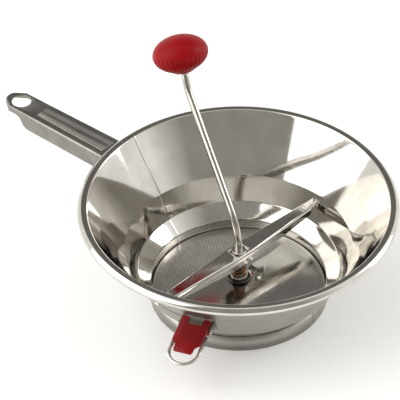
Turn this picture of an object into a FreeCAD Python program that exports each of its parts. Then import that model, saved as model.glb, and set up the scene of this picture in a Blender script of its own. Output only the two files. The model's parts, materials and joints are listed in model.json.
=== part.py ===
import FreeCAD, Part
import math
import os
import Sketcher

# Rotary food mill: a conical bowl with a long handle, a perforated disc in its bottom, and a
# spring-loaded blade that a crank turns under a crossbar. Millimetres, +Z up. The origin is on the
# bowl's axis in the plane that the mill stands on. The handle points along -X.

DIMENSIONS = (
    # bowl
    ("sheet_wall", 0.8, "thickness of the bowl's sheet"),
    ("rim_radius", 120.0, "outer edge of the rolled rim"),
    ("rim_height", 83.5, "height of the rim's outer edge"),
    ("lip_width", 6.2, "from the rim's outer edge in to the top of the cone"),
    ("lip_rise", 2.6, "height of the lip's ridge over the rim's outer edge"),
    ("lip_flat", 4.5, "from the top of the cone out to where the lip starts to fall"),
    ("lip_curl", 2.8, "depth of the curled edge under the rim"),
    ("curl_return", 3.4, "width of the curl's lower edge"),
    ("crease_radius", 85.5, "inside radius where the cone meets the drum"),
    ("crease_height", 44.0, "height of that crease"),
    ("shoulder_radius", 76.2, "inside radius at the drum's lower corner"),
    ("shoulder_height", 25.0, "height of that corner"),
    ("spigot_radius", 65.9, "inside radius of the spigot at the bottom"),
    ("spigot_top", 15.0, "height of the spigot's top"),
    ("ledge_width", 4.2, "inward ledge that carries the grate"),
    ("ledge_height", 0.9, "underside of the ledge over the base plane"),
    ("ledge_corner", 0.25, "inside radius between the ledge and the spigot"),
    ("spigot_corner", 1.6, "radius at the spigot's top"),
    ("shoulder_corner", 3.0, "radius at the drum's lower corner"),
    ("crease_corner", 6.0, "radius at the crease"),
    ("lip_corner", 1.2, "radius where the cone turns into the lip, and at the lip's lower edge"),
    ("lip_round", 2.8, "radius of the lip's outer roll"),
    ("ring_wall", 0.9, "thickness of the base ring's strip"),
    ("ring_height", 13.2, "height of the base ring"),
    ("ring_gap", 0.5, "open seam where the strip's ends meet"),
    ("ring_seam_angle", 4.7, "direction of that seam"),
    # grate
    ("grate_clearance", 0.3, "between the grate's rim and the spigot"),
    ("grate_wall", 0.8, "thickness of the grate's sheet"),
    ("grate_height", 5.8, "height of the grate over the ledge"),
    ("grate_corner", 1.2, "radius between the grate's top and its rim"),
    ("grate_border", 8.4, "from the spigot's inside to the field of holes"),
    ("grate_hole_radius", 1.05, "radius of one hole"),
    ("grate_pitch", 4.4, "distance from hole to hole"),
    ("pilot_land", 7.5, "plain ring left round the pilot hole"),
    # handle
    ("handle_width", 25.0, "width at the root"),
    ("handle_tip_width", 21.5, "width near the tip"),
    ("handle_reach", 233.5, "from the axis to the handle's tip"),
    ("handle_tip_taper", 10.0, "length over which the tip narrows"),
    ("handle_tip_flat", 8.0, "width of the tip's straight end"),
    ("handle_tip_corner", 7.0, "radius of the tip's corners"),
    ("handle_edge_corner", 1.6, "radius along the channel's upper edges"),
    ("handle_flank_step", 15.0, "from the hanging hole in to where the channel gets shallow"),
    ("handle_drop", 9.6, "the top of the handle under the rim's edge"),
    ("handle_sheet", 1.0, "thickness of the handle's sheet"),
    ("handle_depth", 14.5, "depth of the channel"),
    ("handle_tip_depth", 5.0, "depth of the channel round the tip"),
    ("handle_start", 90.0, "from the axis to the channel's inner end"),
    ("hang_hole_radius", 7.5, "hanging hole"),
    ("hang_hole_inset", 14.0, "from the tip in to the middle of the hanging hole"),
    ("panel_height", 0.6, "height of the raised panel along the handle"),
    ("panel_width", 12.5, "width of that panel at the root"),
    ("panel_tip_width", 10.5, "width of that panel at the tip"),
    ("panel_root_gap", 10.0, "from the rim to the panel"),
    ("panel_tip_gap", 14.0, "from the panel to the hanging hole"),
    ("saddle_sheet", 1.2, "thickness of the saddle plate"),
    ("saddle_width", 34.0, "width of the saddle plate"),
    ("saddle_depth", 26.0, "height of the saddle plate"),
    ("saddle_drop", 0.2, "the saddle's upper edge under the handle's top"),
    # crossbar
    ("bar_angle", 84.4, "direction of the crossbar's anchored end"),
    ("bar_top", 40.5, "height of the crossbar's top"),
    ("bar_sheet", 1.2, "thickness of the crossbar's sheet"),
    ("bar_width", 14.6, "width at the middle"),
    ("bar_end_width", 8.8, "width at the ends of the flanges"),
    ("bar_depth", 9.6, "depth of the flanges at the middle"),
    ("bar_end_depth", 5.6, "depth of the flanges at their ends"),
    ("bar_middle", 9.0, "half length of the full-width middle"),
    ("bar_taper_start", 13.5, "from the axis to where the flanges start to taper"),
    ("bar_edge_corner", 1.3, "radius along the crossbar's upper edges"),
    ("bar_flange_gap", 9.8, "from the ends of the flanges to the wall's inside"),
    ("bar_toe", 2.0, "length and height of the slope at the flanges' ends"),
    ("tongue_width", 7.0, "width of the two tongues"),
    ("tongue_stand", 1.8, "from the wall's inside to the tongues' tips"),
    ("tongue_corner", 1.0, "cut off each corner of a tongue's tip"),
    ("tongue_clearance", 0.4, "round a tongue in its slot"),
    ("slot_depth", 12.0, "how far the slots' cutters reach across the wall"),
    ("anchor_sheet", 1.0, "thickness of the anchor's plate"),
    ("anchor_width", 26.0, "width of the anchor's plate"),
    ("anchor_depth", 12.0, "height of the anchor's plate"),
    ("bayonet_turn", 14.0, "how far the second slot lets the tongue turn to come out"),
    # crank
    ("rod_radius", 2.8, "radius of the crank's rod"),
    ("crank_angle", 154.7, "direction in which the crank leans"),
    ("rod_foot", 3.6, "height of the rod's lower end"),
    ("lean_start", 59.4, "height where the rod's two lower runs would meet"),
    ("lean_radius", 36.0, "radius of the lower bend"),
    ("crank_reach", 89.6, "from the axis to the corner of the upper bend"),
    ("crank_rise", 130.2, "height of that corner"),
    ("neck_radius", 26.0, "radius of the upper bend"),
    ("knob_reach", 102.609, "from the axis to the middle of the knob"),
    ("knob_rise", 155.681, "height of the middle of the knob"),
    ("running_clearance", 0.06, "radial clearance of a shaft in its bearing"),
    ("free_clearance", 0.4, "radial clearance round a shaft that only passes through"),
    ("bush_wall", 1.0, "wall of the crossbar's bushing"),
    ("bush_flange_radius", 5.7, "radius of the bushing's two flanges"),
    ("bush_flange", 0.8, "thickness of one flange"),
    ("face_gap", 0.3, "between faces that turn past each other"),
    # spring and blade
    ("spring_wire", 1.6, "diameter of the spring's wire"),
    ("spring_radius", 4.8, "radius of the coil's centre line"),
    ("spring_turns", 6.0, "number of turns"),
    ("washer_thickness", 1.0, "thickness of one washer"),
    ("washer_radius", 8.6, "radius of the two dark washers"),
    ("upper_washer_radius", 5.7, "radius of the washer under the bushing"),
    ("collar_radius", 6.8, "radius of the bright collar"),
    ("collar_height", 2.0, "height of the collar"),
    ("washer_crack", 0.1, "gap between the two dark washers"),
    ("hub_radius", 6.6, "radius of the blade's hub"),
    ("hub_height", 5.4, "height of the blade's hub"),
    ("hub_foot", 8.6, "height of the hub's lower face"),
    ("pin_radius", 1.2, "radius of the drive pin"),
    ("pin_height", 12.4, "height of the drive pin"),
    ("blade_travel", 3.0, "how far the blade can lift against the spring"),
    ("pin_inset", 0.3, "the drive pin's ends inside the hub's face"),
    ("blade_border", 4.9, "from the spigot's inside to the blade's outer edge"),
    ("blade_sheet", 1.0, "thickness of the blade"),
    ("blade_lift", 0.9, "the blade's scraping edge over the grate"),
    ("blade_cone", 3.6, "how much higher the blade is at the hub than at its edge"),
    ("blade_flap_slope", 0.32, "rise of the flap per millimetre from its fold"),
    ("fold_x", 13.5, "a point on the flap's fold, across"),
    ("fold_y", 11.3, "the same point, along"),
    ("fold_angle", 119.0, "direction of the fold"),
    ("flap_start", 385.0, "direction, counted on past a full turn, where the flap starts"),
    ("flap_blend", 20.0, "angle over which the flap rises to its slope"),
    ("blade_end", 452.0, "direction of the flap's far edge, counted on past a full turn"),
    ("blade_edge_angle", 174.4, "direction that the blade's straight edge faces"),
    ("blade_edge_offset", 26.5, "from the axis to that edge"),
    ("blade_ramp", 1.2, "steady rise along the blade's sweep"),
    ("cone_power", 1.2, "how the cone steepens towards the hub: 1 is straight"),
    ("flap_root", 1.3, "where the flap begins, in hub radii from the axis"),
    ("knob_facet", 15, "angle between the points of the knob's curve, in degrees"),
    ("knob_foot_angle", 60, "how far under its middle the knob's curve starts, in degrees"),
    # knob
    ("knob_radius", 21.5, "largest radius of the knob"),
    ("knob_height", 28.8, "height of the knob along its axis"),
    ("knob_neck_radius", 7.0, "radius of the knob's flat foot"),
    ("sleeve_wall", 1.1, "wall of the steel sleeve in the knob"),
    ("sleeve_depth", 17.0, "length of that sleeve"),
    ("stop_radius", 5.6, "radius of the stop under the knob"),
    # latch
    ("latch_angle", 289.6, "direction of the latch"),
    ("latch_width", 22.0, "width of the lever's plate"),
    ("latch_sheet", 1.2, "thickness of the lever's plate"),
    ("latch_stand", 4.5, "from the wall's inside to the plate's inner end"),
    ("latch_length", 26.0, "length of the plate along its slope"),
    ("latch_slope", 12.0, "how far the plate slopes down outward, in degrees"),
    ("latch_corner", 3.0, "cut off the plate's outer corners"),
    ("latch_flange", 2.6, "depth of the plate's side flanges"),
    ("flange_gap", 4.5, "from the flanges' outer ends to the plate's outer end"),
    ("knuckle_length", 8.0, "length of the flanges' deeper part round the pin"),
    ("knuckle_slope", 3.0, "length of the slopes at the flanges' steps"),
    ("knuckle_wall", 1.3, "metal under the pin"),
    ("notch_length", 6.0, "length of the notch at the plate's inner end"),
    ("notch_width", 11.0, "width of that notch"),
    ("plate_over_pin", 3.2, "from the pin up to the plate's underside"),
    ("latch_nose", 14.5, "width of the plate's nose"),
    ("latch_nose_length", 6.5, "length of that nose"),
    ("nose_corner", 1.0, "cut off the nose's corners"),
    ("nose_flare", 0.6, "how much wider the nose is at its root, each side"),
    ("hinge_stand", 8.3, "from the wall's inside to the latch's pin"),
    ("hinge_height", 40.6, "height of the latch's pin"),
    ("hinge_radius", 1.5, "radius of the latch's pin"),
    ("pin_head", 0.9, "thickness of the latch pin's heads"),
    ("pin_head_edge", 0.8, "how much wider those heads are than the pin"),
    ("ear_sheet", 1.2, "thickness of the bracket's ears"),
    ("ear_gap", 0.35, "between an ear and the lever's flange"),
    ("ear_radius", 2.8, "radius of the ears round the pin"),
    ("bracket_drop", 8.0, "from the pin down to the bracket's lower edge"),
    ("bracket_rise", 0.0, "from the pin up to the bracket's upper edge"),
    ("bracket_rivet_drop", 4.0, "from the pin down to the bracket's rivets"),
    ("bracket_rivet_spread", 6.0, "from the latch's middle to each of them"),
    ("loop_wire", 1.5, "radius of the loop's wire"),
    ("loop_start", 12.5, "from the plate's inner end to the loop's legs"),
    ("loop_reach", 9.5, "how far the loop goes beyond the plate"),
    ("loop_outset", 0.2, "the loop's legs beyond the plate's sides"),
    ("jaw_width", 12.0, "width of the jaw"),
    ("jaw_sheet", 1.5, "thickness of the jaw"),
    ("jaw_inset", 4.1, "from the wall's inside to the jaw's upright end"),
    ("jaw_height", 6.0, "height of the jaw's upright end"),
    ("jaw_grip", 6.5, "how far the jaw reaches under the plate"),
    ("jaw_knee", 1.0, "length of the jaw's bend"),
    ("jaw_clearance", 0.6, "round the jaw in its opening"),
    ("latch_swing", 20.0, "how far the lever swings down, in degrees"),
    ("coil_wire", 0.35, "radius of the latch spring's wire"),
    ("coil_turns", 2.0, "number of that spring's turns"),
    ("coil_clearance", 0.3, "between that spring and the pin"),
    ("coil_end_gap", 0.6, "at each end of that spring"),
    # rivets
    ("rivet_radius", 1.6, "shank of a rivet"),
    ("rivet_head_radius", 2.9, "head of a rivet"),
    ("rivet_head", 1.1, "height of a rivet's head"),
)

document = FreeCAD.newDocument("food_mill")
sizes = document.addObject("Spreadsheet::Sheet", "Sizes")
for row, (alias, value, meaning) in enumerate(DIMENSIONS, start=1):
    sizes.set("A%d" % row, alias)
    sizes.set("B%d" % row, str(value))
    sizes.set("C%d" % row, meaning)
    sizes.setAlias("B%d" % row, alias)
document.recompute()

Vector = FreeCAD.Vector
UP = Vector(0, 0, 1)
SUBPARTS = []


# ---------------------------------------------------------------- helpers

def size(alias):
    """One of the sheet's values."""
    return float(sizes.get(alias))


def amount(expression):
    """The number that an expression of the sheet's aliases gives."""
    return float(sizes.evalExpression(expression))


def turned(degrees, x=0.0, y=0.0, z=0.0):
    """A placement turned about the bowl's axis, after a shift in its own frame."""
    turn = FreeCAD.Rotation(UP, degrees)
    return FreeCAD.Placement(turn.multVec(Vector(x, y, z)), turn)


def subpart(thing):
    """Marks a document object as one of the pieces."""
    SUBPARTS.append(thing)
    return thing


def computed(label, shape, placement=None):
    """A piece whose shape is worked out with Part's own functions."""
    thing = document.addObject("Part::Feature", label)
    thing.Shape = shape.removeSplitter()
    if placement:
        thing.Placement = placement
    return subpart(thing)


def new_body(label, placement=None):
    """An empty body, placed."""
    body = document.addObject("PartDesign::Body", label)
    if placement:
        body.Placement = placement
    return subpart(body)


def origin_plane(body, role):
    """One of the body's own origin planes."""
    for feature in body.Origin.OriginFeatures:
        if feature.Role == role:
            return feature
    raise ValueError(role)


def new_sketch(body, name, role, level=None):
    """A sketch on an origin plane, lifted off it by an expression."""
    sketch = body.newObject("Sketcher::SketchObject", name)
    sketch.AttachmentSupport = [(origin_plane(body, role), "")]
    sketch.MapMode = "FlatFace"
    if level:
        sketch.AttachmentOffset = FreeCAD.Placement(Vector(0, 0, amount(level)), FreeCAD.Rotation())
        sketch.setExpression("AttachmentOffset.Base.z", level)
    return sketch


def hold(sketch, kind, line, expression):
    """Ties the start of a line to the sketch's origin along one axis."""
    value = amount(expression)
    if abs(value) < 1e-9:
        axis = -2 if kind == "DistanceX" else -1
        sketch.addConstraint(Sketcher.Constraint("PointOnObject", line, 1, axis))
        return
    number = sketch.addConstraint(Sketcher.Constraint(kind, -1, 1, line, 1, value))
    sketch.setExpression("Constraints[%d]" % number, expression)


def outline(sketch, points):
    """A closed outline of straight lines whose corners are pairs of expressions."""
    corners = [Vector(amount(x), amount(y), 0) for x, y in points]
    count = len(corners)
    for index in range(count):
        sketch.addGeometry(Part.LineSegment(corners[index], corners[(index + 1) % count]), False)
    for index in range(count):
        sketch.addConstraint(Sketcher.Constraint("Coincident", index, 2, (index + 1) % count, 1))
    for index, (x, y) in enumerate(points):
        hold(sketch, "DistanceX", index, x)
        hold(sketch, "DistanceY", index, y)
    return sketch


def mirrored_outline(points):
    """The outline through half of a symmetric shape's corners and their mirror images."""
    return points + [(x, "-(%s)" % y) for x, y in reversed(points)]


def circle(sketch, x, radius):
    """A circle on the sketch's first axis."""
    centre = Vector(amount(x), 0, 0)
    line = sketch.addGeometry(Part.Circle(centre, UP, amount(radius)), False)
    number = sketch.addConstraint(Sketcher.Constraint("Radius", line, amount(radius)))
    sketch.setExpression("Constraints[%d]" % number, radius)
    if abs(centre.x) < 1e-9:
        sketch.addConstraint(Sketcher.Constraint("Coincident", line, 3, -1, 1))
        return sketch
    sketch.addConstraint(Sketcher.Constraint("PointOnObject", line, 3, -1))
    number = sketch.addConstraint(Sketcher.Constraint("DistanceX", -1, 1, line, 3, centre.x))
    sketch.setExpression("Constraints[%d]" % number, x)
    return sketch


def pad(body, name, sketch, length, reverse=False):
    """Adds material along the sketch's normal."""
    feature = body.newObject("PartDesign::Pad", name)
    feature.Profile = sketch
    feature.Length = amount(length)
    feature.setExpression("Length", length)
    feature.Reversed = reverse
    document.recompute()
    return feature


def pocket(body, name, sketch, length, reverse=False, midplane=False):
    """Takes material away and makes sure that it did."""
    before = body.Shape.Volume
    feature = body.newObject("PartDesign::Pocket", name)
    feature.Profile = sketch
    feature.Length = amount(length)
    feature.setExpression("Length", length)
    feature.Midplane = midplane
    feature.Reversed = reverse
    document.recompute()
    if body.Shape.Volume > before - 1e-3:
        raise RuntimeError("%s cuts nothing" % name)
    return feature


def revolution(body, name, sketch):
    """A full turn of the sketch about its own vertical axis."""
    feature = body.newObject("PartDesign::Revolution", name)
    feature.Profile = sketch
    feature.ReferenceAxis = (sketch, ["V_Axis"])
    feature.Angle = 360.0
    document.recompute()
    return feature


def fillet(body, name, radius, picks):
    """Rounds the edges of the body that picks accepts."""
    base = body.Tip
    names = ["Edge%d" % number for number, edge in enumerate(base.Shape.Edges, start=1) if picks(edge)]
    feature = body.newObject("PartDesign::Fillet", name)
    feature.Base = (base, names)
    feature.Radius = amount(radius)
    feature.setExpression("Radius", radius)
    document.recompute()
    return feature


def tube(label, outer, inner, height, placement):
    """A plain ring: one cylinder cut from another."""
    body = document.addObject("Part::Cylinder", label + "_outside")
    body.setExpression("Radius", outer)
    body.setExpression("Height", height)
    bore = document.addObject("Part::Cylinder", label + "_bore")
    bore.setExpression("Radius", inner)
    bore.setExpression("Height", height)
    ring = document.addObject("Part::Cut", label)
    ring.Base = body
    ring.Tool = bore
    document.recompute()
    ring.Placement = placement
    return ring


def at_height(expression):
    """A placement on the bowl's axis."""
    return FreeCAD.Placement(Vector(0, 0, amount(expression)), FreeCAD.Rotation())


def rounded_path(corners, radii):
    """Edges along a run of corners in one plane, each inner corner rounded to its radius."""
    edges = []
    start = corners[0]
    for index in range(1, len(corners) - 1):
        corner = corners[index]
        back = (corners[index - 1] - corner).normalize()
        ahead = (corners[index + 1] - corner).normalize()
        half_turn = (math.pi - back.getAngle(ahead)) / 2
        reach = radii[index - 1] * math.tan(half_turn)
        first = corner + back * reach
        last = corner + ahead * reach
        inward = (back + ahead).normalize()
        centre = corner + inward * (radii[index - 1] / math.cos(half_turn))
        middle = centre - inward * radii[index - 1]
        if (first - start).Length > 1e-6:
            edges.append(Part.makeLine(start, first))
        edges.append(Part.Arc(first, middle, last).toShape())
        start = last
    edges.append(Part.makeLine(start, corners[-1]))
    return edges


def thickened(line, thickness, outward=False):
    """A closed section: the line and its parallel, on the side that reaches out or on the other."""
    bands = [line.makeOffset2D(side, 0, True, True) for side in (thickness, -thickness)]
    bands.sort(key=lambda band: band.BoundBox.XMax)
    return bands[1] if outward else bands[0]


def pipe(path, radius):
    """A round bar along a path."""
    start = path[0].valueAt(path[0].FirstParameter)
    along = path[0].tangentAt(path[0].FirstParameter)
    profile = Part.Wire([Part.makeCircle(radius, start, along)])
    return Part.Wire(path).makePipeShell([profile], True, False)


def slot_box(degrees, reach, depth, width, low, high):
    """A block that stands across the wall in one direction."""
    block = Part.makeBox(depth, width, high - low, Vector(reach, -width / 2, low))
    block.Placement = turned(degrees)
    return block


def rivet(foot, along, grip):
    """A rivet with a domed head at each end of its grip."""
    radius = size("rivet_radius")
    head = size("rivet_head")
    head_radius = size("rivet_head_radius")
    dome = (head_radius ** 2 + head ** 2) / (2 * head)
    shank = Part.makeCylinder(radius, grip, Vector(0, 0, 0), UP)
    top = Part.makeSphere(dome, Vector(0, 0, grip + head - dome), UP)
    top = top.common(Part.makeCylinder(head_radius, head, Vector(0, 0, grip), UP))
    bottom = Part.makeSphere(dome, Vector(0, 0, dome - head), UP)
    bottom = bottom.common(Part.makeCylinder(head_radius, head, Vector(0, 0, -head), UP))
    whole = shank.fuse([top, bottom])
    whole.Placement = FreeCAD.Placement(foot, FreeCAD.Rotation(UP, along))
    return whole


# ---------------------------------------------------------------- the bowl

WALL = (
    "(Sizes.shoulder_radius + (Sizes.crease_radius - Sizes.shoulder_radius)"
    " * (%s - Sizes.shoulder_height) / (Sizes.crease_height - Sizes.shoulder_height))"
)
WALL_AT_BAR = WALL % "Sizes.bar_top"
WALL_AT_HINGE = WALL % "Sizes.hinge_height"


def wall_points():
    """The inside line of the bowl's sheet, from the ledge at the bottom up to the curled edge."""
    rim = size("rim_radius")
    height = size("rim_height")
    ledge = size("ledge_height") + size("sheet_wall")
    cone_top = rim - size("lip_width") - size("sheet_wall")
    ridge = height + size("lip_rise")
    edge = height + size("lip_rise") - (size("lip_width") + size("sheet_wall") - size("lip_flat"))
    return [
        Vector(size("spigot_radius") - size("ledge_width"), 0, ledge),
        Vector(size("spigot_radius"), 0, ledge),
        Vector(size("spigot_radius"), 0, size("spigot_top")),
        Vector(size("shoulder_radius"), 0, size("shoulder_height")),
        Vector(size("crease_radius"), 0, size("crease_height")),
        Vector(cone_top, 0, ridge),
        Vector(cone_top + size("lip_flat"), 0, ridge),
        Vector(rim, 0, edge),
        Vector(rim, 0, height - size("lip_curl")),
        Vector(rim - size("curl_return"), 0, height - size("lip_curl")),
    ]


def wall_profile():
    """The closed section of the bowl's sheet."""
    corners = [size(name + "_corner") for name in ("ledge", "spigot", "shoulder", "crease")]
    corners += [size("lip_corner"), size("lip_round"), size("lip_round"), size("lip_corner")]
    return thickened(Part.Wire(rounded_path(wall_points(), corners)), size("sheet_wall"))


def wall_line():
    """The inside line of the drum and the cone alone."""
    return Part.Wire(rounded_path(wall_points()[3:6], [size("crease_corner")]))


def section_slope(low, high):
    """The angle from level of the line between two of the section's points, in radians."""
    return math.atan2(high.z - low.z, high.x - low.x)


def outside_radius(height, low, high):
    """The outside radius at a height of the wall between two of the section's points."""
    share = (height - low.z) / (high.z - low.z)
    return low.x + (high.x - low.x) * share + size("sheet_wall") / math.sin(section_slope(low, high))


def drum_radius(height):
    """The outside radius of the drum at a height."""
    return outside_radius(height, *wall_points()[3:5])


def drum_slope():
    """The drum's angle from level, in radians."""
    return section_slope(*wall_points()[3:5])


def wall_layer(inner, outer):
    """What lies between two distances outward from the inside of the wall."""
    line = wall_line()
    section = thickened(line, outer, outward=True)
    if inner > 0:
        section = section.cut(thickened(line, inner, outward=True)).Faces[0]
    return section.revolve(Vector(0, 0, 0), UP, 360)


def within_wall(extra=0.0):
    """Everything inside the bowl's outer face, grown by a little."""
    into_wall = Vector(size("sheet_wall") / 2, 0, 0)
    low, crease, high = [point + into_wall for point in wall_points()[3:6]]
    section = [Vector(0, 0, low.z), low, crease, high, Vector(0, 0, high.z)]
    inside = Part.Face(Part.makePolygon(section + section[:1])).revolve(Vector(0, 0, 0), UP, 360)
    return [inside, wall_layer(0.0, size("sheet_wall") + extra)]


def drum_rivets(degrees, height, spread, plate):
    """Two rivets through the drum and a plate on its outside, normal to the wall."""
    rivets = []
    slope = drum_slope()
    wall = size("sheet_wall")
    reach = drum_radius(height)
    for across in (-spread, spread):
        turn = turned(degrees + math.degrees(math.asin(across / reach)))
        outward = Vector(math.sin(slope), 0, -math.cos(slope))
        foot = Vector(reach, 0, height) - outward * wall
        rivets.append(rivet(turn.multVec(foot), turn.Rotation.multVec(outward), wall + plate))
    return rivets


def make_bowl(cuts):
    """The bowl's sheet, turned, with its slots and rivet holes."""
    shell = wall_profile().revolve(Vector(0, 0, 0), UP, 360)
    if shell.ShapeType != "Solid":
        shell = Part.Solid(Part.Shell(shell.Faces))
    return computed("bowl", shell.cut(cuts))


def make_base_ring():
    """The strip rolled round the spigot, open at its seam."""
    inner = "Sizes.spigot_radius + Sizes.sheet_wall"
    ring = tube("base_strip", inner + " + Sizes.ring_wall", inner, "Sizes.ring_height", at_height("0"))
    seam = document.addObject("Part::Box", "base_seam")
    seam.setExpression("Length", "Sizes.ring_wall * 4")
    seam.setExpression("Width", "Sizes.ring_gap")
    seam.setExpression("Height", "Sizes.ring_height")
    reach = amount(inner) - size("ring_wall")
    seam.Placement = turned(size("ring_seam_angle"), x=reach, y=-size("ring_gap") / 2)
    band = document.addObject("Part::Cut", "base_ring")
    band.Base = ring
    band.Tool = seam
    return subpart(band)


# ---------------------------------------------------------------- the grate

def field_radius():
    """The radius of the grate's field of holes."""
    return size("spigot_radius") - size("grate_border")


def grate_holes():
    """Centres of the holes, on a triangular pattern inside the perforated field."""
    pitch = size("grate_pitch")
    row_step = pitch * math.sqrt(3) / 2
    inner = size("pilot_land")
    outer = field_radius() - size("grate_hole_radius")
    rows = int(outer / row_step) + 1
    columns = int(outer / pitch) + 2
    centres = []
    for row in range(-rows, rows + 1):
        shift = pitch / 2 if row % 2 else 0.0
        for column in range(-columns, columns + 1):
            centre = Vector(column * pitch + shift, row * row_step, 0)
            if inner < centre.Length < outer:
                centres.append(centre)
    return centres


def make_grate():
    """The perforated disc with its turned-down rim."""
    wall = size("grate_wall")
    outer = size("spigot_radius") - size("grate_clearance")
    foot = size("ledge_height") + size("sheet_wall")
    top = foot + size("grate_height")
    rim_section = rounded_path(
        [
            Vector(outer, 0, foot),
            Vector(outer, 0, top),
            Vector(field_radius() + wall, 0, top),
        ],
        [size("grate_corner")],
    )
    rim = thickened(Part.Wire(rim_section), wall).revolve(Vector(0, 0, 0), UP, 360)
    if rim.ShapeType != "Solid":
        rim = Part.Solid(Part.Shell(rim.Faces))
    level = top - wall
    edge = Part.Wire(Part.makeCircle(field_radius() + wall, Vector(0, 0, level), UP))
    pilot = size("rod_radius") + size("free_clearance")
    inner = [Part.Wire(Part.makeCircle(pilot, Vector(0, 0, level), UP))]
    for centre in grate_holes():
        place = Vector(centre.x, centre.y, level)
        inner.append(Part.Wire(Part.makeCircle(size("grate_hole_radius"), place, UP)))
    field = Part.makeFace([edge] + inner, "Part::FaceMakerBullseye").extrude(Vector(0, 0, wall))
    return computed("grate", rim.fuse(field))


def grate_top():
    """Height of the grate's upper face."""
    return size("ledge_height") + size("sheet_wall") + size("grate_height")


# ---------------------------------------------------------------- the handle

def make_handle():
    """The pressed channel, trimmed to the saddle at its root."""
    channel = document.addObject("PartDesign::Body", "handle_channel")
    channel.Placement = turned(180.0)
    top = "(Sizes.rim_height - Sizes.handle_drop)"
    level = amount(top)
    hole = "(Sizes.handle_reach - Sizes.hang_hole_inset)"
    half = "Sizes.handle_width / 2"
    tip_half = "Sizes.handle_tip_width / 2"
    tip = "Sizes.handle_reach"
    shaft_end = tip + " - Sizes.handle_tip_taper"
    inset = " - Sizes.handle_sheet"
    plan = new_sketch(channel, "handle_plan", "XY_Plane", top)
    outline(plan, mirrored_outline([
        ("Sizes.handle_start", half),
        (shaft_end, tip_half),
        (tip, "Sizes.handle_tip_flat / 2"),
    ]))
    pad(channel, "handle_block", plan, "Sizes.handle_depth", reverse=True)
    fillet(channel, "handle_tip", "Sizes.handle_tip_corner", upright_at_tip)
    fillet(channel, "handle_edges", "Sizes.handle_edge_corner", lambda edge: edge.BoundBox.ZMin > level - 0.01)
    hollow = new_sketch(channel, "handle_hollow_plan", "XY_Plane", top + inset)
    outline(hollow, mirrored_outline([
        ("Sizes.handle_start" + inset, half + inset),
        (shaft_end + inset, tip_half + inset),
        (tip + inset, "Sizes.handle_tip_flat / 2" + inset),
    ]))
    pocket(channel, "handle_hollow", hollow, "Sizes.handle_depth")
    flank = new_sketch(channel, "handle_flank", "XZ_Plane")
    low = top + " - Sizes.handle_depth"
    tip_low = top + " - Sizes.handle_tip_depth"
    step = "Sizes.handle_flank_step"
    below = low + inset
    beyond = tip + " + Sizes.handle_sheet"
    outline(flank, [
        (hole + " - " + step, below),
        (hole + " - " + step, low),
        (hole + " - " + step + " * 3 / 4", low + " + Sizes.handle_edge_corner"),
        (hole + " - " + step + " / 2", tip_low + " - Sizes.handle_edge_corner"),
        (hole + " - " + step + " / 4", tip_low),
        (beyond, tip_low),
        (beyond, below),
    ])
    pocket(channel, "handle_flank_cut", flank, "Sizes.handle_width * 2", midplane=True)
    ring = new_sketch(channel, "hang_hole_plan", "XY_Plane", top)
    circle(ring, hole, "Sizes.hang_hole_radius")
    pocket(channel, "hang_hole", ring, "Sizes.handle_depth")
    panel = new_sketch(channel, "panel_plan", "XY_Plane", top + " - Sizes.handle_sheet / 2")
    outline(panel, mirrored_outline([
        ("Sizes.rim_radius + Sizes.panel_root_gap", "Sizes.panel_width / 2"),
        (hole + " - Sizes.hang_hole_radius - Sizes.panel_tip_gap", "Sizes.panel_tip_width / 2"),
    ]))
    pad(channel, "panel", panel, "Sizes.panel_height + Sizes.handle_sheet / 2")
    inner, wall = within_wall(size("saddle_sheet"))
    trim = document.addObject("Part::Feature", "bowl_outside")
    trim.Shape = Part.makeCompound([inner, wall])
    handle = document.addObject("Part::Cut", "handle")
    handle.Base = channel
    handle.Tool = trim
    document.recompute()
    return subpart(handle)


def upright_at_tip(edge):
    """Whether an edge is one of the two upright ones at the handle's tip."""
    box = edge.BoundBox
    upright = box.ZLength > box.XLength + box.YLength
    return upright and abs(box.Center.x) > size("handle_reach") - size("handle_sheet")


def wall_patch(degrees, low, high, width, thickness):
    """A piece of plate that lies on the outside of the wall."""
    wall = size("sheet_wall")
    reach = size("spigot_radius")
    block = slot_box(degrees, reach, size("rim_radius") - reach, width, low, high)
    return wall_layer(wall, wall + thickness).common(block)


def make_saddle():
    """The plate between the handle's root and the cone."""
    top = size("rim_height") - size("handle_drop") - size("saddle_drop")
    low = top - size("saddle_depth")
    return computed("handle_saddle", wall_patch(180.0, low, top, size("saddle_width"), size("saddle_sheet")))


# ---------------------------------------------------------------- the crossbar

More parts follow.
